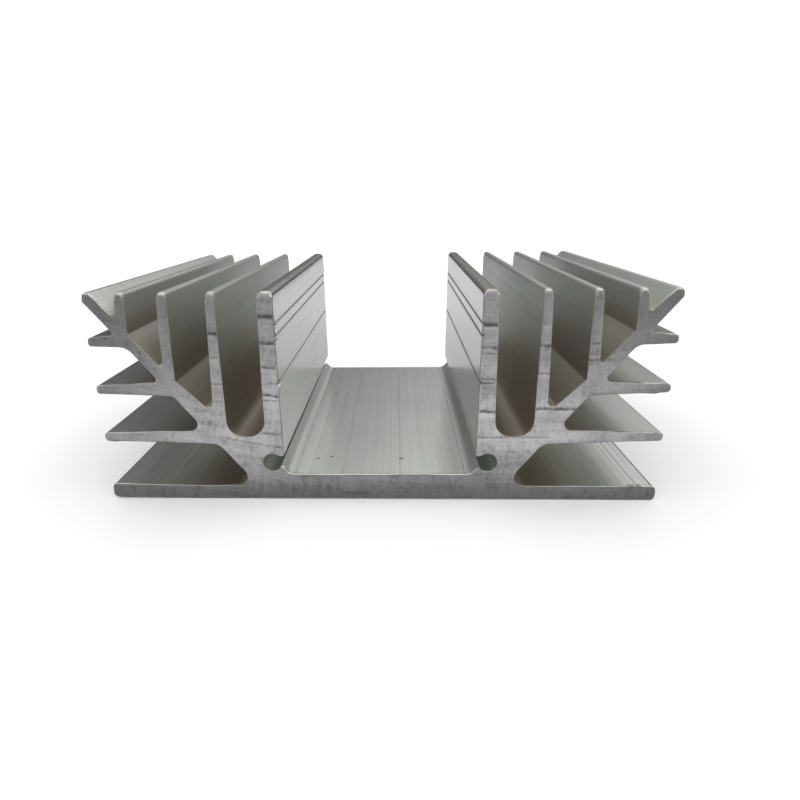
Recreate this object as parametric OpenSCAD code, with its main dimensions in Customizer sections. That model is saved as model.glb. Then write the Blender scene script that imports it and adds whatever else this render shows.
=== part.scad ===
// Extruded heat sink: a thin base, a central U-shaped mounting channel between
// two heavy walls, and on each side a slanting arm that carries upright fins on
// its upper side and flat side fins on its lower side. One aluminium extrusion,
// sawn to length.
// X runs across the fins, Y along the extrusion, Z up. Millimetres.
// The origin is the middle of the underside.

/* [Overall size] */

// Width across the wing tips
overall_w = 110; // [109:0.5:112]
// Height of the wing tips, fins and walls above the underside
overall_h = 42; // [41:0.5:48]
// Sawn length of the extrusion
length = 80; // [20:1:300]

/* [Base and channel] */

// Width of the base plate
base_w = 108.6; // [104:0.2:110]
// Thickness of the base plate beyond the core
base_t = 3; // [2.4:0.1:3.4]
// Radius of the base plate's edges
base_edge_r = 1; // [0.5:0.1:1.1]
// Thickness of the channel floor
floor_t = 5.4; // [5:0.1:5.8]
// Width of the channel between its walls, just above the floor
channel_w = 37.8; // [36.8:0.1:38.2]
// Thickness of a channel wall at its root
wall_root_t = 3.6; // [3.3:0.1:4]
// Thickness of a channel wall at its top
wall_top_t = 3; // [2.4:0.1:3.2]

/* [Screw channels] */

// Radius of the round screw channel at each foot of the mounting channel
screw_r = 1.85; // [1.6:0.05:1.9]
// Distance of each screw channel's axis from the middle plane
screw_x = 21.25; // [21.1:0.05:21.4]
// Height of each screw channel's axis above the underside
screw_z = 8; // [7.8:0.05:8.2]
// Height of the wall's foot above the screw channel's axis
screw_gap_up = 1.3; // [0.9:0.05:1.3]

/* [Upright fins] */

// Distance of the first fin's centre from the middle plane
fin1_x = 31; // [30.6:0.1:31.4]
// Distance of the second fin's centre from the middle plane
fin2_x = 40.1; // [39.8:0.1:40.4]
// Distance of the third fin's centre from the middle plane
fin3_x = 48.1; // [47.9:0.1:48.3]
// Thickness of an upright fin at its top
fin_top_t = 1.75; // [1.7:0.05:2.2]
// Thickness of an upright fin at its root
fin_root_t = 2.7; // [2.2:0.05:2.9]
// Height of the round bottom of the slot beside the wall
slot_floor_z = 13.5; // [13:0.1:14.5]

/* [Slanting arms and side fins] */

// Angle of the arm's lower face above the base plate, in degrees
arm_angle = 50.8; // [50.4:0.1:51.2]
// Distance of the arm's foot from the middle plane
arm_foot_x = 24.5; // [24.2:0.1:24.8]
// Thickness of the wing tip, measured across
wing_tip_t = 1.35; // [1.2:0.05:1.6]
// Height of the lowest side fin's middle above the underside
side1_z = 13.45; // [13.3:0.05:13.6]
// Height of the middle side fin's middle above the underside
side2_z = 23.25; // [23:0.05:23.5]
// Height of the highest side fin's middle above the underside
side3_z = 32.65; // [32.4:0.05:32.9]
// Thickness of a side fin at its tip
side_tip_t = 1.65; // [1.5:0.05:1.8]

/* [Die grooves] */

// Radius of the fine grooves along the inner faces of the channel walls
groove_r = 0.3; // [0.2:0.05:0.4]

/* [Hidden] */

$fn = 72;
hair = 0.004;
hw = overall_w / 2;
h = overall_h;
// How much a fin's half-thickness grows per millimetre below its top.
wall_grow = (wall_root_t - wall_top_t) / (h - screw_z);
fin_grow = (fin_root_t - fin_top_t) / 2 / (h - slot_floor_z);

// Distance of the arm's lower face from the middle plane at height z.
function under_x(z) = arm_foot_x + (z - base_t) / tan(arm_angle);
// Height of the arm's lower face at distance x.
function under_z(x) = base_t + (x - arm_foot_x) * tan(arm_angle);
// Half-thickness of an upright fin at height z.
function fin_half(z) = fin_top_t / 2 + (h - z) * fin_grow;
// Outer and inner face of a channel wall at height z: the outer face takes a
// third of the taper and the inner face the rest.
function wall_out(z) = channel_w / 2 + wall_root_t - (wall_root_t - wall_top_t) / 3 * (z - screw_z) / (h - screw_z);
function wall_in(z) = channel_w / 2 + (wall_root_t - wall_top_t) * 2 / 3 * (z - screw_z) / (h - screw_z);

wall_foot_z = screw_z + screw_gap_up;

// Heights at which the slots between the upright fins meet the arm.
notch_z = h - 4.6;
slot3_out_z = h - 7.8;
slot3_in_z = h - 14.3;
slot2_out_z = h - 17.1;
slot2_in_z = h - 23.6;

// The right half of the section, anticlockwise from the middle of the
// underside. Each entry is [x, z, corner radius].
right_half = [
    [0, 0, 0],
    [base_w / 2, 0, base_edge_r],
    [base_w / 2, base_t, base_edge_r * 1.15],
    [under_x(base_t), base_t, 1.9],
    // lowest side fin
    [under_x(side1_z - 1.55), side1_z - 1.55, 3],
    [hw - 0.6, side1_z - side_tip_t / 2, 0.7],
    [hw - 0.6, side1_z + side_tip_t / 2, 0.7],
    [under_x(side1_z + 1.4), side1_z + 1.4, 1.35],
    // middle side fin
    [under_x(side2_z - 1.45), side2_z - 1.45, 1.1],
    [hw - 0.3, side2_z - side_tip_t / 2, 0.7],
    [hw - 0.3, side2_z + side_tip_t / 2, 0.7],
    [under_x(side2_z + 1.45), side2_z + 1.45, 0.6],
    // highest side fin
    [under_x(side3_z - 1.1), side3_z - 1.1, 2.8],
    [hw, side3_z - side_tip_t / 2, 0.7],
    [hw, side3_z + side_tip_t / 2, 0.7],
    [under_x(side3_z + 1.35), side3_z + 1.35, 0.5],
    // wing tip
    [hw, under_z(hw), 0.4],
    [hw, h, 0.6],
    [hw - wing_tip_t, h, 0.35],
    // third upright fin
    [fin3_x + fin_half(notch_z), notch_z, 0.5],
    [fin3_x + fin_top_t / 2, h, 0.75],
    [fin3_x - fin_top_t / 2, h, 0.75],
    [fin3_x - fin_half(slot3_out_z), slot3_out_z, 0.6],
    // second upright fin
    [fin2_x + fin_half(slot3_in_z), slot3_in_z, 0.35],
    [fin2_x + fin_top_t / 2, h, 0.75],
    [fin2_x - fin_top_t / 2, h, 0.75],
    [fin2_x - fin_half(slot2_out_z), slot2_out_z, 0.6],
    // first upright fin
    [fin1_x + fin_half(slot2_in_z), slot2_in_z, 0.95],
    [fin1_x + fin_top_t / 2, h, 0.75],
    [fin1_x - fin_top_t / 2, h, 0.75],
    [fin1_x - fin_half(slot_floor_z), slot_floor_z, 3.2],
    // channel wall
    [wall_out(slot_floor_z), slot_floor_z, 3.2],
    [wall_out(h), h, 1.1],
    [wall_in(h), h, 1.1],
    [wall_in(wall_foot_z), wall_foot_z, 0.2],
    // mouth of the screw channel
    [screw_x - 0.7, wall_foot_z, 0],
    [screw_x - 1.25, screw_z - 0.6, 0],
    [screw_x - 1.25 - (screw_z - 0.6 - floor_t), floor_t, 0.5],
    [0, floor_t, 0]
];

function unit(v) = v / norm(v);
function cross2(a, b) = a[0] * b[1] - a[1] * b[0];

// The piece of a corner that lies between its two edges and the arc of
// radius r that joins them, reaching eps past the edges on the far side.
// The arc is drawn a hair large, so that it crosses each edge cleanly.
module corner_piece(p, d1, d2, r, eps) {
    half_a = acos(d1 * d2) / 2;
    t = r / tan(half_a);
    bis = unit(d1 + d2);
    c = p + bis * r / sin(half_a);
    t1 = p + d1 * t;
    t2 = p + d2 * t;
    n1 = unit(c - t1);
    n2 = unit(c - t2);
    difference() {
        polygon([p - bis * eps / sin(half_a), t1 - n1 * eps, t1, c, t2, t2 - n2 * eps]);
        translate(c) circle(r = r + hair);
    }
}

// A closed outline with each corner rounded by its own radius.
module rounded_outline(pts) {
    n = len(pts);
    difference() {
        union() {
            polygon([for (p = pts) [p[0], p[1]]]);
            for (i = [0:n - 1]) {
                a = pts[(i + n - 1) % n];
                b = pts[i];
                c = pts[(i + 1) % n];
                p = [b[0], b[1]];
                d1 = unit([a[0], a[1]] - p);
                d2 = unit([c[0], c[1]] - p);
                if (b[2] > 0 && cross2(-d1, d2) < 0)
                    corner_piece(p, d1, d2, b[2], 0.1);
            }
        }
        for (i = [0:n - 1]) {
            a = pts[(i + n - 1) % n];
            b = pts[i];
            c = pts[(i + 1) % n];
            p = [b[0], b[1]];
            d1 = unit([a[0], a[1]] - p);
            d2 = unit([c[0], c[1]] - p);
            if (b[2] > 0 && cross2(-d1, d2) > 0)
                corner_piece(p, d1, d2, b[2], 0.1);
        }
    }
}

module right_section() {
    difference() {
        rounded_outline(right_half);
        translate([screw_x, screw_z]) circle(r = screw_r);
        for (z = [h - 6.2, h - 8.5, h - 17.5])
            translate([wall_in(z) - groove_r * 0.25, z]) circle(r = groove_r);
    }
}

module section() {
    right_section();
    mirror([1, 0]) right_section();
}

module heat_sink() {
    color([0.72, 0.72, 0.71])
        translate([0, length / 2, 0])
            rotate([90, 0, 0])
                linear_extrude(height = length) section();
}

heat_sink();
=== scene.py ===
import math

import bpy
import numpy as np
from mathutils import Matrix, Vector


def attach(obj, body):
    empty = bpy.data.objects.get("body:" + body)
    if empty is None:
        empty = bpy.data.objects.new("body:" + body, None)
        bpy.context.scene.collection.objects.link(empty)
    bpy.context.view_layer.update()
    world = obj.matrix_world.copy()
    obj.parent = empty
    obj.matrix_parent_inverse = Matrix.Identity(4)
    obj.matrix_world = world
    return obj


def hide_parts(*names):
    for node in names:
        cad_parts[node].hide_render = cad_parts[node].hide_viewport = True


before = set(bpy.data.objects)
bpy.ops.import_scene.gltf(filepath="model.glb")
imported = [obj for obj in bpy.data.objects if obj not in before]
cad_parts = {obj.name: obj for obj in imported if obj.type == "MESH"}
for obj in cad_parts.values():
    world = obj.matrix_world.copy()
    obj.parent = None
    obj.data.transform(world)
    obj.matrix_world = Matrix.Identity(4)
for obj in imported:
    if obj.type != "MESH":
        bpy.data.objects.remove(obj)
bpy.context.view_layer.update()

MM = 0.001

# ---------------------------------------------------------------- the section
H = 42.0
HW = 55.0
BASE_T = 3.0
FLOOR_T = 5.4
LEN = 80.0
SCREW = (21.25, 8.0)
SCREW_R = 1.85
TAN = math.tan(math.radians(50.8))
FIN_X = (31.0, 40.1, 48.1)


def under_x(z):
    return 24.5 + (z - BASE_T) / TAN


def under_z(x):
    return BASE_T + (x - 24.5) * TAN


def fin_half(z):
    return 0.875 + (H - z) * 0.95 / 2 / (H - 13.5)


def wall_out(z):
    return 22.5 - 0.2 * (z - 8) / 34


def wall_in(z):
    return 18.9 + 0.4 * (z - 8) / 34


def corner(p, a, b, r):
    """Points of the arc of radius r that rounds corner p, whose neighbours are a and b."""
    p, a, b = (np.array(v, float) for v in (p, a, b))
    d1 = (a - p) / np.linalg.norm(a - p)
    d2 = (b - p) / np.linalg.norm(b - p)
    half = math.acos(np.clip(d1 @ d2, -1, 1)) / 2
    bis = (d1 + d2) / np.linalg.norm(d1 + d2)
    c = p + bis * r / math.sin(half)
    t1 = p + d1 * r / math.tan(half)
    t2 = p + d2 * r / math.tan(half)
    a1 = math.atan2(*(t1 - c)[::-1])
    a2 = math.atan2(*(t2 - c)[::-1])
    turn = (a2 - a1 + math.pi) % (2 * math.pi) - math.pi
    n = max(3, int(math.ceil(abs(turn) / math.radians(11))), int(math.ceil(abs(turn) * r / 0.5)))
    return [c + r * np.array([math.cos(a1 + turn * i / n), math.sin(a1 + turn * i / n)]) for i in range(n + 1)]


def half_outline():
    n, s3o, s3i, s2o, s2i = H - 4.6, H - 7.8, H - 14.3, H - 17.1, H - 23.6
    s1, s2, s3, st = 13.45, 23.25, 32.65, 0.825
    pts = [
        (0, 0, 0),
        (54.3, 0, 1.0),
        (54.3, BASE_T, 1.15),
        (under_x(BASE_T), BASE_T, 1.9),
        (under_x(s1 - 1.55), s1 - 1.55, 3.0),
        (HW - 0.6, s1 - st, 0.7),
        (HW - 0.6, s1 + st, 0.7),
        (under_x(s1 + 1.4), s1 + 1.4, 1.35),
        (under_x(s2 - 1.45), s2 - 1.45, 1.1),
        (HW - 0.3, s2 - st, 0.7),
        (HW - 0.3, s2 + st, 0.7),
        (under_x(s2 + 1.45), s2 + 1.45, 0.6),
        (under_x(s3 - 1.1), s3 - 1.1, 2.8),
        (HW, s3 - st, 0.7),
        (HW, s3 + st, 0.7),
        (under_x(s3 + 1.35), s3 + 1.35, 0.5),
        (HW, under_z(HW), 0.4),
        (HW, H, 0.6),
        (HW - 1.35, H, 0.35),
        (FIN_X[2] + fin_half(n), n, 0.5),
        (FIN_X[2] + 0.875, H, 0.75),
        (FIN_X[2] - 0.875, H, 0.75),
        (FIN_X[2] - fin_half(s3o), s3o, 0.6),
        (FIN_X[1] + fin_half(s3i), s3i, 0.35),
        (FIN_X[1] + 0.875, H, 0.75),
        (FIN_X[1] - 0.875, H, 0.75),
        (FIN_X[1] - fin_half(s2o), s2o, 0.6),
        (FIN_X[0] + fin_half(s2i), s2i, 0.95),
        (FIN_X[0] + 0.875, H, 0.75),
        (FIN_X[0] - 0.875, H, 0.75),
        (FIN_X[0] - fin_half(13.5), 13.5, 3.2),
        (wall_out(13.5), 13.5, 3.2),
        (wall_out(H), H, 1.1),
        (wall_in(H), H, 1.1),
    ]
    # grooves along the inner face of the wall
    tail = []
    for z in (H - 6.2, H - 8.5, H - 17.5):
        cx, r = wall_in(z) - 0.075, 0.3
        half = math.acos(0.25)
        for i in range(9):
            a = half - 2 * half * i / 8
            tail.append((cx + r * math.cos(a), z + r * math.sin(a), 0))
    foot = SCREW[1] + 1.3
    tail.append((wall_in(foot), foot, 0.2))
    a1 = math.atan2(1.3, -math.sqrt(SCREW_R**2 - 1.3**2))
    # the lip where the 45-degree chamfer meets the round channel
    lip_x = 19.6577
    a2 = math.atan2(lip_x - 12.6 - SCREW[1], lip_x - SCREW[0]) 
    n_arc = 44
    for i in range(n_arc + 1):
        a = a1 + (a2 - a1) * i / n_arc
        tail.append((SCREW[0] + SCREW_R * math.cos(a), SCREW[1] + SCREW_R * math.sin(a), 0))
    tail.append((18.0, FLOOR_T, 2.0))
    tail.append((0, FLOOR_T, 0))
    pts += tail
    out = []
    for i, (x, z, r) in enumerate(pts):
        if r > 0:
            out += corner((x, z), pts[i - 1][:2], pts[i + 1][:2], r)
        else:
            out.append(np.array([x, z], float))
    return out


def refine(pts, step):
    """Points no further apart than step."""
    res = []
    for p, q in zip(pts[:-1], pts[1:]):
        d = np.linalg.norm(q - p)
        if d < 1e-6:
            continue
        n = max(1, int(math.ceil(d / step)))
        res += [p + (q - p) * i / n for i in range(n)]
    res.append(pts[-1])
    return res


right = refine(half_outline(), 1.15)
left = [p * np.array([-1, 1]) for p in right[::-1]]
loop = np.array(right + left[1:-1])  # anticlockwise from the middle of the underside


def normals(pts):
    a = np.roll(pts, -1, 0) - pts
    b = pts - np.roll(pts, 1, 0)
    t = a / np.linalg.norm(a, axis=1)[:, None] + b / np.linalg.norm(b, axis=1)[:, None]
    t /= np.linalg.norm(t, axis=1)[:, None]
    return np.stack([t[:, 1], -t[:, 0]], 1)


# The finish differs by place: the fins' long tongues in the die leave the walls
# of the slots between them rougher than the open channel.
i_tip = int(np.argmin(np.hypot(*(np.array(right) - (HW, H)).T)))
i_wall = int(np.argmin(np.hypot(*(np.array(right) - (22.3, H)).T)))
place = np.full(len(right), 0.30)
place[i_tip : i_wall + 1] = 1.0
place[i_wall + 1 :] = 0.0
place = np.concatenate([place, place[::-1][1:-1]])


def closer(p):
    """How far apart the outline's points may be there: closer where burrs sit."""
    x, z = p
    if abs(x + 19.0) < 0.6 and 20.5 < z < 37.5:
        return 0.24
    if 17.4 < abs(x) < 19.9 and 5.0 < z < 7.4:
        return 0.22
    if x > 43 and (abs(z - 3.0) < 0.5 or abs(z - 14.2) < 0.4 or abs(z - 24.0) < 0.35):
        return 0.26
    return 2.0


more, where_ = [], []
for i, p in enumerate(loop):
    q = loop[(i + 1) % len(loop)]
    n = max(1, int(math.ceil(np.linalg.norm(q - p) / closer((p + q) / 2))))
    more += [p + (q - p) * t / n for t in range(n)]
    where_ += [place[i]] * n
loop, place = np.array(more), np.array(where_)
N = len(loop)


def depths(pts):
    """How deep in a slot or gap each point lies, 0 at the open edge to 1."""
    x, z = np.abs(pts[:, 0]), pts[:, 1]
    bottom = np.maximum(under_z(np.maximum(x, 30.0)) + 1.0, 13.5)
    slot = np.where((x > 22.0) & (z > bottom - 1.2), (H - z) / (H - bottom), 0.0)
    root = under_x(np.clip(z, 4.0, 40.0))
    gap = np.where((z > 2.4) & (z < bottom - 1.2) & (x > root - 2), (HW - x) / (HW - root), 0.0)
    return np.clip(np.maximum(slot, gap), 0, 1)


deep = depths(loop)
# The tops of the heavy walls and of the fins are stained and rubbed.
stain = np.clip((loop[:, 1] - (H - 0.5)) / 0.3, 0, 1) * np.where(np.abs(loop[:, 0]) < 23, 1.0, 0.22)
floor_here = (np.abs(loop[:, 1] - FLOOR_T) < 0.02) & (np.abs(loop[:, 0]) < 18.6)
place = np.where(floor_here, -0.05, place)
lip_here = (np.abs(loop[:, 0]) > 17.2) & (np.abs(loop[:, 0]) < 19.8) & (loop[:, 1] > FLOOR_T + 0.02) & (loop[:, 1] < 7.2)
place = np.where(lip_here, 0.9, place)
# Fine ribs left by the die on the plate and, more faintly, in the gaps above it.
ribbed = np.where((loop[:, 1] < BASE_T + 0.4) & (loop[:, 1] > 2.0), 1.0, 0.35) * ((deep > 0) & (place < 0.9))
in_bore = np.hypot(np.abs(loop[:, 0]) - SCREW[0], loop[:, 1] - SCREW[1]) < SCREW_R + 0.05
place = np.where(in_bore, 1.0, place)
deep = np.where(in_bore, 0.25, deep)
out_n = normals(loop)
seg = np.linalg.norm(np.roll(loop, -1, 0) - loop, axis=1)
arc = np.concatenate([[0], np.cumsum(seg)])  # distance along the outline, N + 1 values


def smooth_noise(n, cells, seed):
    """A closed 1-D noise of n values in -1..1 with that many cells."""
    r = np.random.default_rng(seed)
    v = r.uniform(-1, 1, cells)
    x = np.arange(n) / n * cells
    i = x.astype(int)
    f = x - i
    f = f * f * (3 - 2 * f)
    return v[i % cells] * (1 - f) + v[(i + 1) % cells] * f


def bump1(x, x0, w):
    return np.exp(-(((x - x0) / w) ** 2))


# The bow of the thin base plate and its worn left edge.
def warp(p):
    x, z = p[:, 0].copy(), p[:, 1].copy()
    low = np.clip((5 - z) / 2, 0, 1)
    z = z + low * 0.33 * np.clip((-x - 38) / 17, 0, 1) ** 1.6
    z = z + low * 0.10 * np.clip(1 - ((x - 8) / 40) ** 2, 0, 1) * np.clip((1.0 - p[:, 1]) / 1.0, 0, 1)
    return np.stack([x, z], 1)


# ------------------------------------------------------------- the long mesh
noise_e = smooth_noise(N, 620, 3)
noise_f = smooth_noise(N, 210, 4)
bevel = 0.10 + 0.05 * noise_f + 0.03 * noise_e
burr = np.clip(0.05 * smooth_noise(N, 340, 5) + 0.02 * noise_e, 0, None)
lx, lz = loop[:, 0], loop[:, 1]
on_floor = (np.abs(lz - FLOOR_T) < 0.25) & (np.abs(lx) < 18.6)
burr = burr + on_floor * (0.07 + 0.06 * np.abs(noise_e) + 0.05 * noise_f)
burr = burr + 0.14 * bump1(lx, 18.6, 0.5) * bump1(lz, 6.1, 0.6)
burr = burr + 0.26 * bump1(lx, 51.4, 1.1) * bump1(lz, 22.4, 0.25)
burr = burr + 0.20 * bump1(lx, -52.6, 1.4) * bump1(lz, 12.6, 0.25)
teeth = np.clip(1.6 * smooth_noise(N, N // 2, 8), 0, 1)
burr = burr + (lz > 2.9) * (lz < 3.1) * (lx > 46.5) * (lx < 53.9) * (0.02 + 0.34 * teeth)
burr = burr + (lz > 14) * (lz < 14.4) * (lx > 47.5) * (lx < 53.9) * (0.02 + 0.30 * teeth)
burr = burr + (lz > 23.9) * (lz < 24.2) * (lx > 48) * (lx < 54) * (0.02 + 0.26 * teeth)

# Lumps of torn metal on the left wall's edge and on the left lip.
wall_edge = (lx > -19.8) & (lx < -18.5) & (lz > 20) & (lz < 38)
lump_x = wall_edge * (0.80 * bump1(lz, 24.2, 0.65) + 0.50 * bump1(lz, 33.3, 0.5) + 0.45 * bump1(lz, 35.8, 0.45))
on_lip = 0.50 * bump1(lx, -18.9, 0.8) * bump1(lz, 6.4, 0.9)
lump = np.stack([lump_x + 0.3 * on_lip, 0.9 * on_lip], 1)

roll_over = 0.42 * np.clip((lz - (H - 1.1)) / 0.5, 0, 1) * (1 + 0.30 * noise_f)
roll_over = roll_over * np.where(np.abs(lx) > 52.5, 0.4, 1.0)  # the wing tips have small corners
# the left wing and the arm beside it dip a little towards the sawn end
dished = 0.34 * ((lx < -49.3) & (lz > 35.6) & (out_n[:, 0] > 0.3)) * np.clip((40.9 - lz) / 1.2, 0, 1)
dished = dished + 0.30 * ((lx < -41.6) & (lx > -46.6) & (lz < 35.5) & (lz > 25.0) & (out_n[:, 1] > 0.4))
edge = [0, 0.05, 0.12, 0.22, 0.34, 0.5, 0.68, 0.9, 1.3, 1.9, 2.8, 4.5]
mid = list(np.linspace(7.0, LEN - 7.0, 9))
depth = edge + mid + [LEN - e for e in edge[::-1]]
rings = []
for k, d in enumerate(depth):
    t = min(d, LEN - d)
    back = d > LEN / 2
    b = np.roll(bevel, 217)[::-1] if back else bevel
    u = np.roll(np.clip(burr, 0, 0.12), 333) if back else burr
    off = -b * np.clip(1 - t / 0.20, 0, 1) ** 2 + u * math.exp(-((t - 0.25) / 0.2) ** 2)
    off = off - roll_over * np.clip(1 - t / 1.0, 0, 1) ** 2 - dished * np.clip(1 - t / 2.8, 0, 1) ** 2
    p = loop + out_n * off[:, None]
    if not back:
        p = p + lump * math.exp(-((t - 0.5) / 0.33) ** 2)
    p = warp(p)
    p[:, 0] = np.clip(p[:, 0], -HW, HW)
    p[:, 1] = np.clip(p[:, 1], 0, H)
    rings.append(p)
M = len(depth)

verts = []
for p, d in zip(rings, depth):
    y = d - LEN / 2
    verts.append(np.stack([p[:, 0], np.full(N, y), p[:, 1]], 1))
verts = np.concatenate(verts)
faces = []
uvs = []
V_SCALE = 0.01  # one UV unit is 100 mm
for k in range(M - 1):
    y0, y1 = depth[k], depth[k + 1]
    for i in range(N):
        j = (i + 1) % N
        faces.append((k * N + i, (k + 1) * N + i, (k + 1) * N + j, k * N + j))
        s0, s1 = arc[i], arc[i + 1]
        uvs += [(s0, y0), (s0, y1), (s1, y1), (s1, y0)]
n_side = len(faces)

# ----------------------------------------------------------- the sawn ends
from mathutils.geometry import delaunay_2d_cdt


def inside(pts, poly):
    """Which points lie inside the closed polygon."""
    x, y = pts[:, 0][:, None], pts[:, 1][:, None]
    x0, y0 = poly[:, 0][None], poly[:, 1][None]
    q = np.roll(poly, -1, 0)
    x1, y1 = q[:, 0][None], q[:, 1][None]
    cond = (y0 > y) != (y1 > y)
    with np.errstate(divide="ignore", invalid="ignore"):
        xi = x0 + (y - y0) * (x1 - x0) / (y1 - y0)
    return (np.sum(cond & (x < xi), axis=1) % 2) == 1


def cap_mesh(poly, step):
    gx = np.arange(-HW, HW, step)
    gz = np.arange(0, H, step * 0.87)
    g = []
    for k, z in enumerate(gz):
        row = np.stack([gx + (step / 2 if k % 2 else 0), np.full(len(gx), z)], 1)
        g.append(row)
    g = np.concatenate(g)
    keep = []
    for k in range(0, len(g), 4000):
        keep.append(inside(g[k : k + 4000], poly))
    g = g[np.concatenate(keep)]
    # not too near the outline
    far = np.ones(len(g), bool)
    for k in range(0, len(poly), 64):
        c = poly[k : k + 64]
        d = np.linalg.norm(g[:, None] - c[None], axis=2).min(1)
        far &= d > step * 0.55
    g = g[far]
    n = len(poly)
    vs = [Vector(p) for p in poly] + [Vector(p) for p in g]
    es = [(i, (i + 1) % n) for i in range(n)]
    ov, oe, of, *_ = delaunay_2d_cdt(vs, es, [], 1, 1e-6)
    return np.array([v[:] for v in ov]), [tuple(f) for f in of]


SAW = (25.0, 280.0)


def value_noise(a, b, seed):
    """Smooth 2-D noise of -1..1 at the points (a, b)."""
    r = np.random.default_rng(seed)
    t = r.uniform(-1, 1, (512, 512))
    i, j = np.floor(a).astype(int), np.floor(b).astype(int)
    f, g = a - i, b - j
    f, g = f * f * (3 - 2 * f), g * g * (3 - 2 * g)
    v = lambda p, q: t[p % 512, q % 512]
    return (v(i, j) * (1 - f) + v(i + 1, j) * f) * (1 - g) + (v(i, j + 1) * (1 - f) + v(i + 1, j + 1) * f) * g


# Marks left where the blade hesitated: x from, x to, z at the left end, z at
# the right end, width, strength.
FRONT_MARKS = [
    (-22.6, -19.2, 37.4, 37.2, 0.30, 1.0),
    (-22.6, -19.0, 32.3, 32.1, 0.22, 0.9),
    (-22.6, -18.9, 27.6, 27.4, 0.14, 0.6),
    (-22.6, -18.9, 22.2, 21.5, 0.18, 0.8),
    (-22.6, -18.9, 20.9, 20.9, 0.10, 0.5),
    (-22.6, -18.9, 14.2, 13.9, 0.12, 0.5),
    (-20.6, -18.9, 24.4, 24.2, 0.12, 0.6),
    (-32.2, -29.7, 34.1, 34.1, 0.22, 0.7),
    (-32.2, -29.7, 29.6, 29.4, 0.14, 0.6),
    (-32.4, -29.5, 24.4, 24.2, 0.12, 0.5),
    (-41.2, -38.8, 37.4, 37.4, 0.16, 0.4),
    (-41.3, -38.7, 31.2, 31.0, 0.12, 0.4),
    (-31.5, -25.0, 13.4, 12.1, 0.10, 0.6),
    (-25.0, -18.9, 12.1, 11.0, 0.10, 0.7),
    (19.1, 22.5, 35.6, 35.4, 0.26, 1.0),
    (19.1, 22.6, 31.1, 31.0, 0.18, 0.8),
    (19.0, 22.6, 29.9, 29.9, 0.10, 0.5),
    (19.0, 22.6, 25.2, 25.0, 0.14, 0.7),
    (19.0, 22.6, 24.3, 24.3, 0.10, 0.5),
    (18.9, 22.7, 18.7, 18.5, 0.20, 1.0),
    (18.9, 33.0, 13.3, 13.3, 0.12, 0.6),
    (29.6, 32.2, 31.6, 31.4, 0.20, 0.8),
    (29.6, 32.2, 30.9, 30.8, 0.10, 0.5),
    (29.5, 32.3, 28.9, 28.9, 0.10, 0.5),
    (29.5, 32.3, 26.1, 26.0, 0.16, 0.7),
    (29.5, 38.2, 19.1, 19.1, 0.18, 0.8),
    (38.8, 41.3, 31.8, 31.8, 0.12, 0.6),
    (38.8, 44.0, 29.9, 29.8, 0.12, 0.6),
    (38.7, 43.0, 28.7, 28.7, 0.12, 0.5),
    (-8.0, -2.0, 1.4, 1.3, 0.18, 0.4),
]


def cap(side):
    """The sawn end at y = -40 (side -1) or +40 (side 1): vertices, faces, tone."""
    poly = rings[0] if side < 0 else rings[-1]
    v, f = cap_mesh(poly, 0.30 if side < 0 else 0.42)
    x, z = v[:, 0], v[:, 1]
    if side > 0:
        x = -x + 9.0
    r = np.hypot(x - SAW[0], z - SAW[1])
    a = np.arctan2(x - SAW[0], SAW[1] - z) * 270
    fine = value_noise(r * 2.6, a * 0.10, 11)
    mid_n = value_noise(r * 0.9, a * 0.05, 12)
    cross = value_noise(a * 2.2, r * 0.5, 13)
    blot = value_noise(x * 0.35, z * 0.35, 14)
    grain = value_noise(x * 3.1, z * 3.1, 15)
    spots = np.clip(value_noise(x * 1.5, z * 1.5, 16) - 0.35, 0, 1)
    tone = 0.10 * fine + 0.14 * mid_n + 0.11 * cross + 0.15 * blot + 0.15 * grain - 0.45 * spots
    high = 0.010 * fine + 0.010 * mid_n + 0.004 * grain
    marks = FRONT_MARKS
    if side > 0:
        g = np.random.default_rng(21)
        marks = []
        for _ in range(34):
            m = g.choice([-48, -40, -31, -20.7, 20.7, 31, 40, 48])
            zc = g.uniform(6, 39)
            marks.append((m - 1.9, m + 1.9, zc, zc + g.uniform(-0.3, 0.3), g.uniform(0.1, 0.25), g.uniform(0.4, 1)))
    xr = v[:, 0]
    for x0, x1, z0, z1, w, s in marks:
        t = (xr - x0) / (x1 - x0)
        zc = z0 + (z1 - z0) * t + 0.10 * value_noise(xr * 0.9, np.full(len(xr), z0), 31)
        within = np.clip((xr - x0) / 0.4 + 1, 0, 1) * np.clip((x1 - xr) / 0.4 + 1, 0, 1)
        m = s * np.exp(-(((z - zc) / (w * 1.4)) ** 2)) * within * (0.75 + 0.25 * value_noise(xr * 2.1, z, 32))
        # each mark darkens the tone along it, and a painted highlight lightens a band just below it
        tone = tone - 1.35 * m + 0.22 * s * np.exp(-(((z - zc + w * 2.2) / (w * 1.5)) ** 2)) * within
        high = high - 0.05 * m
    # keep the outline itself where the long mesh has it
    n = len(poly)
    is_edge = np.zeros(len(v), bool)
    d_in = 0.035 + high
    y = -LEN / 2 + np.clip(d_in, 0.0, 0.12) if side < 0 else LEN / 2 - np.clip(d_in, 0.0, 0.12)
    return v, f, tone, y, n
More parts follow.
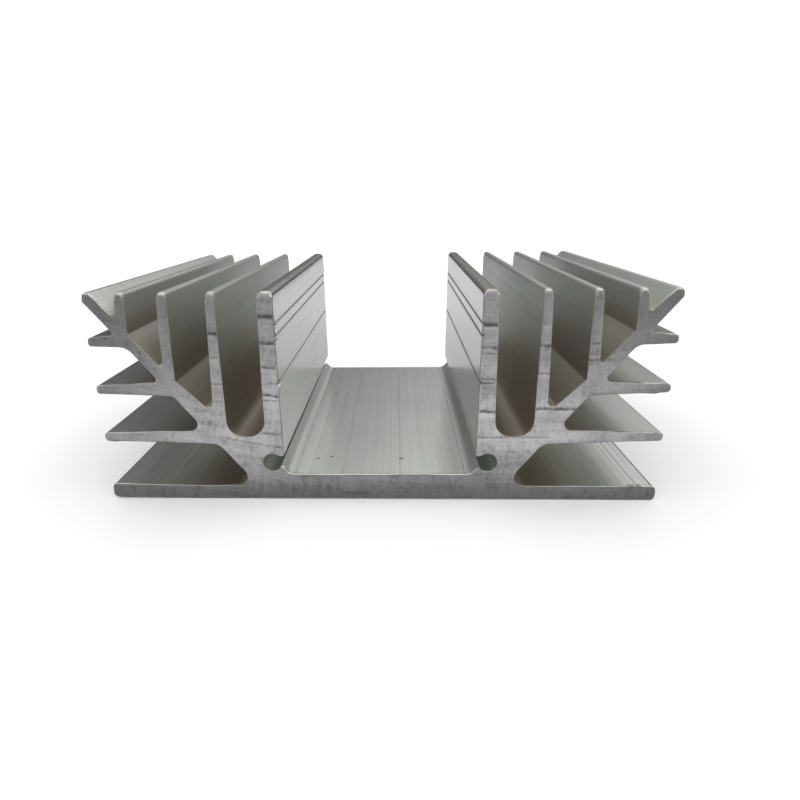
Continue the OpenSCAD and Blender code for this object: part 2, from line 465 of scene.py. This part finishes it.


# painted shade darkening the grooves along the walls' inner faces, stronger on the right wall
groove_shade = np.zeros(N)
for z_g in (H - 6.2, H - 8.5, H - 17.5):
    groove_shade -= 0.9 * (np.abs(np.abs(lx) - 19.3) < 0.6) * bump1(lz, z_g, 0.32) * np.where(lx > 0, 1.0, 0.55)
all_v = [verts]
all_f = list(faces)
tones = [np.tile(groove_shade, M)]
places = [np.tile(np.stack([place, deep, stain, ribbed], 1), (M, 1))]
base_n = len(verts)
for side in (-1, 1):
    v, f, tone, y, n = cap(side)
    ring_start = 0 if side < 0 else (M - 1) * N
    ring_pts = rings[0] if side < 0 else rings[-1]
    # vertices on the outline are shared with the ring
    idx = np.empty(len(v), int)
    new = []
    for k in range(0, len(v), 2000):
        d = np.linalg.norm(v[k : k + 2000][:, None] - ring_pts[None], axis=2)
        j = d.argmin(1)
        hit = d[np.arange(len(j)), j] < 1e-4
        for m_, (jj, hh) in enumerate(zip(j, hit)):
            if hh:
                idx[k + m_] = ring_start + jj
            else:
                idx[k + m_] = base_n + len(new)
                new.append(k + m_)
    new = np.array(new)
    all_v.append(np.stack([v[new, 0], y[new], v[new, 1]], 1))
    tones.append(tone[new])
    places.append(np.zeros((len(new), 4)))
    t_ring = np.zeros(N)
    for tri in f:
        g = [int(idx[q]) for q in tri]
        if len(set(g)) < 3:
            continue
        if side < 0:
            all_f.append(tuple(g))
        else:
            all_f.append(tuple(g[::-1]))
        uvs += [tuple(v[q]) for q in (tri if side < 0 else tri[::-1])]
    base_n += len(new)
all_v = np.concatenate(all_v) * MM
tones = np.concatenate(tones)

mesh = bpy.data.meshes.new("extruded_heat_sink")
mesh.from_pydata([tuple(p) for p in all_v], [], all_f)
uv = mesh.uv_layers.new(name="run")
uv.data.foreach_set("uv", (np.array(uvs) * V_SCALE).astype(np.float32).ravel())
att = mesh.attributes.new("tone", "FLOAT", "POINT")
att.data.foreach_set("value", tones.astype(np.float32))
places = np.concatenate(places).astype(np.float32)
for k, name in enumerate(("place", "deep", "stain", "ribbed")):
    att = mesh.attributes.new(name, "FLOAT", "POINT")
    att.data.foreach_set("value", np.ascontiguousarray(places[:, k]))
mi = np.zeros(len(mesh.polygons), np.int32)
mi[n_side:] = 1
mesh.polygons.foreach_set("material_index", mi)
mesh.polygons.foreach_set("use_smooth", np.ones(len(mesh.polygons), bool))
mesh.update()
mesh.set_sharp_from_angle(angle=math.radians(24))
piece = bpy.data.objects.new("extrusion", mesh)
bpy.context.collection.objects.link(piece)

# ------------------------------------------------------------------ materials


class Nodes:
    def __init__(self, tree):
        self.t = tree

    def add(self, kind, inputs=None, **props):
        n = self.t.nodes.new(kind)
        for k, v in props.items():
            setattr(n, k, v)
        for k, v in (inputs or {}).items():
            s = n.inputs[k]
            if isinstance(v, bpy.types.NodeSocket):
                self.t.links.new(v, s)
            else:
                s.default_value = v
        return n

    def math(self, op, a, b=0.0, c=0.0, clamp=False):
        n = self.add("ShaderNodeMath", operation=op, use_clamp=clamp)
        for i, v in enumerate((a, b, c)):
            if isinstance(v, bpy.types.NodeSocket):
                self.t.links.new(v, n.inputs[i])
            else:
                n.inputs[i].default_value = v
        return n.outputs[0]

    def mix(self, fac, a, b, blend="MIX"):
        n = self.add("ShaderNodeMix", data_type="RGBA", blend_type=blend)
        for k, v in ((0, fac), (6, a), (7, b)):
            if isinstance(v, bpy.types.NodeSocket):
                self.t.links.new(v, n.inputs[k])
            else:
                n.inputs[k].default_value = v
        return n.outputs[2]

    def ramp(self, fac, stops, interpolation="LINEAR"):
        n = self.add("ShaderNodeValToRGB", {"Fac": fac})
        r = n.color_ramp
        r.interpolation = interpolation
        while len(r.elements) > 1:
            r.elements.remove(r.elements[-1])
        r.elements[0].position = stops[0][0]
        r.elements[0].color = stops[0][1]
        for p, c in stops[1:]:
            e = r.elements.new(p)
            e.color = c
        return n.outputs[0]

    def span(self, v, a, b, c, d, smooth=False):
        n = self.add(
            "ShaderNodeMapRange",
            {"Value": v, "From Min": a, "From Max": b, "To Min": c, "To Max": d},
            interpolation_type="SMOOTHSTEP" if smooth else "LINEAR",
        )
        return n.outputs[0]


def grey(v, a=1.0):
    return (v, v, v, a)


def new_material(name):
    m = bpy.data.materials.new(name)
    m.use_nodes = True
    m.node_tree.nodes.clear()
    k = Nodes(m.node_tree)
    out = k.add("ShaderNodeOutputMaterial")
    b = k.add("ShaderNodeBsdfPrincipled")
    m.node_tree.links.new(b.outputs[0], out.inputs[0])
    return m, k, b


def mill_finish():
    m, k, b = new_material("mill_finish")
    uvn = k.add("ShaderNodeUVMap", uv_map="run")
    sep = k.add("ShaderNodeSeparateXYZ", {"Vector": uvn.outputs[0]})
    s, y = sep.outputs[0], sep.outputs[1]  # 1 unit is 100 mm
    obj = k.add("ShaderNodeTexCoord").outputs["Object"]

    def streak(sc, yc, detail=3.0, seed=0.0, rough=0.55):
        v = k.add("ShaderNodeCombineXYZ", {"X": k.math("MULTIPLY", s, sc), "Y": k.math("MULTIPLY", y, yc), "Z": seed})
        return k.add(
            "ShaderNodeTexNoise",
            {"Vector": v.outputs[0], "Scale": 1.0, "Detail": detail, "Roughness": rough},
            noise_dimensions="3D",
        ).outputs[0]

    fine = streak(420, 1.6, 4.0, 0.0, 0.6)  # die lines about 0.25 mm apart
    wide = streak(90, 0.5, 3.0, 5.0)  # bands a millimetre or so wide
    long_ = streak(28, 0.9, 2.0, 9.0)
    cloud = k.add("ShaderNodeTexNoise", {"Vector": obj, "Scale": 55.0, "Detail": 4.0, "Roughness": 0.55}).outputs[0]
    speck = k.add("ShaderNodeTexNoise", {"Vector": obj, "Scale": 900.0, "Detail": 2.0, "Roughness": 0.5}).outputs[0]

    tone = k.math("MULTIPLY_ADD", fine, 0.30, 0.0)
    tone = k.math("MULTIPLY_ADD", wide, 0.30, tone)
    tone = k.math("MULTIPLY_ADD", long_, 0.20, tone)
    tone = k.math("MULTIPLY_ADD", cloud, 0.20, tone)  # about 0.5 in the middle
    att = k.add("ShaderNodeAttribute", attribute_name="tone", attribute_type="GEOMETRY").outputs["Fac"]
    tone = k.math("ADD", tone, k.math("MULTIPLY", att, 0.35))
    base = k.ramp(
        tone,
        [(0.16, (0.16, 0.16, 0.15, 1)), (0.32, (0.46, 0.46, 0.44, 1)), (0.46, (0.60, 0.60, 0.58, 1)), (0.56, (0.65, 0.65, 0.63, 1)), (0.70, (0.74, 0.74, 0.72, 1))],
    )
    # painted shade: the colour is darker and browner deep in the slots and gaps, a painted reflection of a brown table,
    # and a little lighter near their open edges
    deep_in = k.add("ShaderNodeAttribute", attribute_name="deep", attribute_type="GEOMETRY").outputs["Fac"]
    wander = k.math("MULTIPLY_ADD", k.math("SUBTRACT", long_, 0.5), 0.35, deep_in)
    painted_slot_shade = k.ramp(wander, [(0.0, (1.10, 1.12, 1.10, 1)), (0.4, (1.06, 1.09, 1.05, 1)), (0.72, (0.82, 0.77, 0.68, 1)), (1.0, (0.74, 0.66, 0.56, 1))])
    base = k.mix(1.0, base, painted_slot_shade, "MULTIPLY")
    # stains on the tops, in small brown blotches
    stained = k.add("ShaderNodeAttribute", attribute_name="stain", attribute_type="GEOMETRY").outputs["Fac"]
    patch = k.add("ShaderNodeTexNoise", {"Vector": obj, "Scale": 420.0, "Detail": 5.0, "Roughness": 0.65}).outputs[0]
    amount = k.math("MULTIPLY", k.span(patch, 0.42, 0.62, 0.12, 0.80, True), stained)
    base = k.mix(amount, base, (0.38, 0.30, 0.235, 1))
    # small pits in the channel's floor (x, y, radius in mm), and die lines
    px, py, pz = k.add("ShaderNodeSeparateXYZ", {"Vector": obj}).outputs
    flat = k.add("ShaderNodeCombineXYZ", {"X": px, "Y": py, "Z": 0.0}).outputs[0]
    pit = None
    for x, y_, r in ((-13.8, 12.7, 0.7), (-13.3, -32.1, 0.5), (-10.4, -31.3, 0.5), (4.3, -32.0, 0.55)):
        d = k.add("ShaderNodeVectorMath", {0: flat, 1: (x * MM, y_ * MM, 0.0)}, operation="DISTANCE").outputs["Value"]
        one = k.span(d, r * MM, 0.45 * r * MM, 0, 1, True)
        pit = one if pit is None else k.math("MAXIMUM", pit, one)
    pit = k.math("MULTIPLY", pit, k.span(pz, 0.0057, 0.0060, 1, 0))
    base = k.mix(k.math("MULTIPLY", pit, 0.85), base, (0.10, 0.09, 0.08, 1))
    for x, z0, z1, strong in ((-16.8, 5.0, 5.9, 0.55), (16.9, 5.0, 5.9, 0.35), (50.6, 2.5, 3.3, 0.45), (-7.4, 5.0, 5.9, 0.18), (4.1, 5.0, 5.9, 0.2)):
        line = k.span(k.math("ABSOLUTE", k.math("SUBTRACT", px, x * MM)), 0.0001, 0.0003, 1, 0, True)
        line = k.math("MULTIPLY", line, k.span(k.math("ABSOLUTE", k.math("SUBTRACT", pz, (z0 + z1) / 2 * MM)), (z1 - z0) / 2 * MM, (z1 - z0) / 2 * MM + 0.0001, 1, 0))
        line = k.math("MULTIPLY", line, k.span(cloud, 0.40, 0.55, 0.25, 1.0, True))
        base = k.mix(k.math("MULTIPLY", line, strong), base, (0.15, 0.14, 0.13, 1))
    # ribs about half a millimetre apart, broken up a little along their run
    rib_v = k.add("ShaderNodeCombineXYZ", {"X": k.math("MULTIPLY", s, 300.0), "Y": k.math("MULTIPLY", y, 2.0), "Z": 7.0})
    rib = k.add("ShaderNodeTexNoise", {"Vector": rib_v.outputs[0], "Scale": 1.0, "Detail": 1.0, "Roughness": 0.5}).outputs[0]
    ribs = k.add("ShaderNodeAttribute", attribute_name="ribbed", attribute_type="GEOMETRY").outputs["Fac"]
    # painted shade: the colour is darker in the ribs' valleys
    base = k.mix(k.math("MULTIPLY", k.span(rib, 0.5, 0.36, 0, 0.3), ribs), base, (0.25, 0.24, 0.21, 1))
    k.t.links.new(base, b.inputs["Base Color"])
    b.inputs["Metallic"].default_value = 0.95
    where = k.add("ShaderNodeAttribute", attribute_name="place", attribute_type="GEOMETRY").outputs["Fac"]
    rough = k.math("MULTIPLY_ADD", where, 0.24, k.span(tone, 0.3, 0.7, 0.18, 0.12))
    rough = k.math("MULTIPLY_ADD", amount, 0.25, rough)
    k.t.links.new(rough, b.inputs["Roughness"])
    b.inputs["Anisotropic"].default_value = 0.75
    b.inputs["Anisotropic Rotation"].default_value = 0.0
    tan = k.add("ShaderNodeTangent", direction_type="UV_MAP", uv_map="run")
    k.t.links.new(tan.outputs[0], b.inputs["Tangent"])
    h = k.math("MULTIPLY", k.math("MULTIPLY", rib, ribs), 0.9)
    h = k.math("MULTIPLY_ADD", fine, 0.5, h)
    h = k.math("MULTIPLY_ADD", pit, -2.0, h)
    h = k.math("MULTIPLY_ADD", wide, 0.45, h)
    h = k.math("MULTIPLY_ADD", speck, 0.06, h)
    bump = k.add("ShaderNodeBump", {"Height": h, "Strength": 0.35, "Distance": 0.00012})
    k.t.links.new(bump.outputs[0], b.inputs["Normal"])
    return m


def saw_cut():
    m, k, b = new_material("saw_cut")
    obj = k.add("ShaderNodeTexCoord").outputs["Object"]
    att = k.add("ShaderNodeAttribute", attribute_name="tone", attribute_type="GEOMETRY").outputs["Fac"]
    sep = k.add("ShaderNodeSeparateXYZ", {"Vector": obj})
    # distance from the saw's hub, so that the marks are shallow arcs
    dx = k.math("SUBTRACT", sep.outputs[0], SAW[0] * MM)
    dz = k.math("SUBTRACT", sep.outputs[2], SAW[1] * MM)
    r = k.math("SQRT", k.math("ADD", k.math("MULTIPLY", dx, dx), k.math("MULTIPLY", dz, dz)))
    v = k.add("ShaderNodeCombineXYZ", {"X": k.math("MULTIPLY", r, 2600.0), "Y": k.math("MULTIPLY", dx, 60.0), "Z": 0.0})
    lines = k.add("ShaderNodeTexNoise", {"Vector": v.outputs[0], "Scale": 1.0, "Detail": 3.0, "Roughness": 0.6}).outputs[0]
    grain = k.add("ShaderNodeTexNoise", {"Vector": obj, "Scale": 2400.0, "Detail": 3.0, "Roughness": 0.6}).outputs[0]
    ticks_v = k.add("ShaderNodeCombineXYZ", {"X": k.math("MULTIPLY", sep.outputs[0], 3400.0), "Y": k.math("MULTIPLY", r, 700.0), "Z": 3.0})
    ticks = k.add("ShaderNodeTexNoise", {"Vector": ticks_v.outputs[0], "Scale": 1.0, "Detail": 2.0, "Roughness": 0.6}).outputs[0]
    t = k.math("MULTIPLY_ADD", k.math("SUBTRACT", lines, 0.5), 0.22, att)
    t = k.math("MULTIPLY_ADD", k.math("SUBTRACT", grain, 0.5), 0.22, t)
    t = k.math("MULTIPLY_ADD", k.math("SUBTRACT", ticks, 0.5), 0.40, t)
    base = k.ramp(
        k.math("MULTIPLY_ADD", t, 0.5, 0.5),
        [(0.10, (0.19, 0.185, 0.19, 1)), (0.32, (0.43, 0.425, 0.43, 1)), (0.5, (0.60, 0.595, 0.60, 1)), (0.72, (0.74, 0.735, 0.74, 1))],
    )
    k.t.links.new(base, b.inputs["Base Color"])
    b.inputs["Metallic"].default_value = 0.93
    k.t.links.new(k.span(t, -0.4, 0.3, 0.52, 0.38), b.inputs["Roughness"])
    h = k.math("MULTIPLY_ADD", lines, 0.7, k.math("MULTIPLY_ADD", grain, 0.4, k.math("MULTIPLY", ticks, 0.5)))
    bump = k.add("ShaderNodeBump", {"Height": h, "Strength": 0.5, "Distance": 0.0001})
    k.t.links.new(bump.outputs[0], b.inputs["Normal"])
    return m


mesh.materials.append(mill_finish())
mesh.materials.append(saw_cut())

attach(piece, "root")
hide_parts("heat_sink")

# --------------------------------------------------------------- floor, light


def plane(name, x0, x1, y0, y1, z, mat):
    me = bpy.data.meshes.new(name)
    me.from_pydata([(x0, y0, z), (x1, y0, z), (x1, y1, z), (x0, y1, z)], [], [(0, 1, 2, 3)])
    me.materials.append(mat)
    o = bpy.data.objects.new(name, me)
    bpy.context.collection.objects.link(o)
    return o


fm, k, b = new_material("pale_floor")
b.inputs["Base Color"].default_value = (0.93, 0.93, 0.93, 1)
b.inputs["Roughness"].default_value = 0.9
b.inputs["Specular IOR Level"].default_value = 0.0
floor = plane("floor", -6, 6, -6, 6, 0.0, fm)
floor.visible_glossy = False  # the metal mirrors the table tone below instead

# Plain soft studio light, neutral throughout. The floor gets even pale light. What
# the metal mirrors is a soft panel overhead and a broad one behind, to the right,
# and it is darker low down, behind to the left and in front, so that the faces of
# the fins stand apart. Each row is a height above the horizon in degrees, and its
# stops are (azimuth, brightness), 0 being straight behind the part.
ROOM = [
    (3, [(0, 0.1)]),
    (15, [(-180, 0.2), (-70, 0.4), (-20, 0.1), (10, 0.5), (70, 0.4), (180, 0.2)]),
    (32, [(-180, 0.3), (-70, 0.5), (-20, 0.2), (10, 1.1), (70, 0.6), (180, 0.3)]),
    (50, [(-180, 0.4), (-90, 0.7), (0, 1.3), (90, 1.1), (180, 0.4)]),
    (75, [(0, 1.1)]),
]
# The table that the metal mirrors, a glowing card of painted light and shade: stops along Y in metres,
# dark under the part as its painted shadow, and its tone beyond the part's sides.
TABLE = [(-0.30, 0.05), (-0.13, 0.85), (-0.065, 0.95), (-0.045, 0.1), (0.045, 0.5), (0.20, 0.7)]
TABLE_SIDE = 0.05

world = bpy.data.worlds.new("studio")
bpy.context.scene.world = world
world.use_nodes = True
world.cycles.sampling_method = "NONE"  # so that the metal meets the room by reflection alone
world.node_tree.nodes.clear()
k = Nodes(world.node_tree)
way = k.add("ShaderNodeTexCoord").outputs["Generated"]
sep = k.add("ShaderNodeSeparateXYZ", {"Vector": way})
dx, dy, dz = sep.outputs
az = k.math("MULTIPLY", k.math("ARCTAN2", dx, dy), 180 / math.pi)
el = k.math("MULTIPLY", k.math("ARCSINE", dz), 180 / math.pi)
room = None
last = None
for height, stops in ROOM:
    row = k.ramp(k.span(az, -180, 180, 0, 1), [((a_ + 180) / 360, grey(v)) for a_, v in stops])
    room = row if room is None else k.mix(k.span(el, last, height, 0, 1), room, row)
    last = height
path = k.add("ShaderNodeLightPath")
pale = k.add("ShaderNodeBackground", {"Color": grey(1.0), "Strength": 1.25})
seen = k.add("ShaderNodeBackground", {"Color": room, "Strength": 1.0})
wm = k.add("ShaderNodeMixShader", {0: path.outputs["Is Glossy Ray"], 1: pale.outputs[0], 2: seen.outputs[0]})
wo = k.add("ShaderNodeOutputWorld")
world.node_tree.links.new(wm.outputs[0], wo.inputs[0])

# The table top, a glowing card seen by reflections only, with painted light and a painted shadow under the part.
tm = bpy.data.materials.new("table_tone")
tm.use_nodes = True
tm.node_tree.nodes.clear()
k = Nodes(tm.node_tree)
obj = k.add("ShaderNodeTexCoord").outputs["Object"]
sx, sy, sz = k.add("ShaderNodeSeparateXYZ", {"Vector": obj}).outputs
tone = k.ramp(k.span(sy, -0.30, 0.20, 0, 1), [((y_ + 0.30) / 0.50, grey(v)) for y_, v in TABLE])
side = k.span(k.math("ABSOLUTE", sx), 0.045, 0.10, 0, 1, True)
tone = k.mix(side, tone, grey(TABLE_SIDE))
em = k.add("ShaderNodeEmission", {"Color": tone, "Strength": 1.0})
out = k.add("ShaderNodeOutputMaterial")
k.t.links.new(em.outputs[0], out.inputs[0])
table = plane("table_card", -1.5, 1.5, -1.5, 1.5, 0.0001, tm)
table.visible_camera = False
table.visible_diffuse = False
table.visible_shadow = False
table.visible_transmission = False

# --------------------------------------------------------------------- camera
yaw, pitch, roll = math.radians(-2.3163), math.radians(16.5641), math.radians(-0.8597)
f = Vector((math.sin(yaw) * math.cos(pitch), math.cos(yaw) * math.cos(pitch), -math.sin(pitch)))
r = Vector((math.cos(yaw), -math.sin(yaw), 0))
u = r.cross(f)
r2 = math.cos(roll) * r + math.sin(roll) * u
u2 = -math.sin(roll) * r + math.cos(roll) * u
cd = bpy.data.cameras.new("camera")
cd.sensor_width = 36.0
cd.sensor_fit = "HORIZONTAL"
cd.lens = 602.585 / 800 * 36
cd.shift_x = (400 - 374.493) / 800
cd.shift_y = (378.532 - 400) / 800
cd.clip_start = 0.005
cam = bpy.data.objects.new("camera", cd)
rot = Matrix((r2, u2, -f)).transposed().to_4x4()
cam.matrix_world = Matrix.Translation(Vector((3.711, -149.269, 57.842)) * MM) @ rot
bpy.context.collection.objects.link(cam)
bpy.context.scene.camera = cam
bpy.context.scene.view_settings.view_transform = "Standard"

bpy.context.view_layer.update()
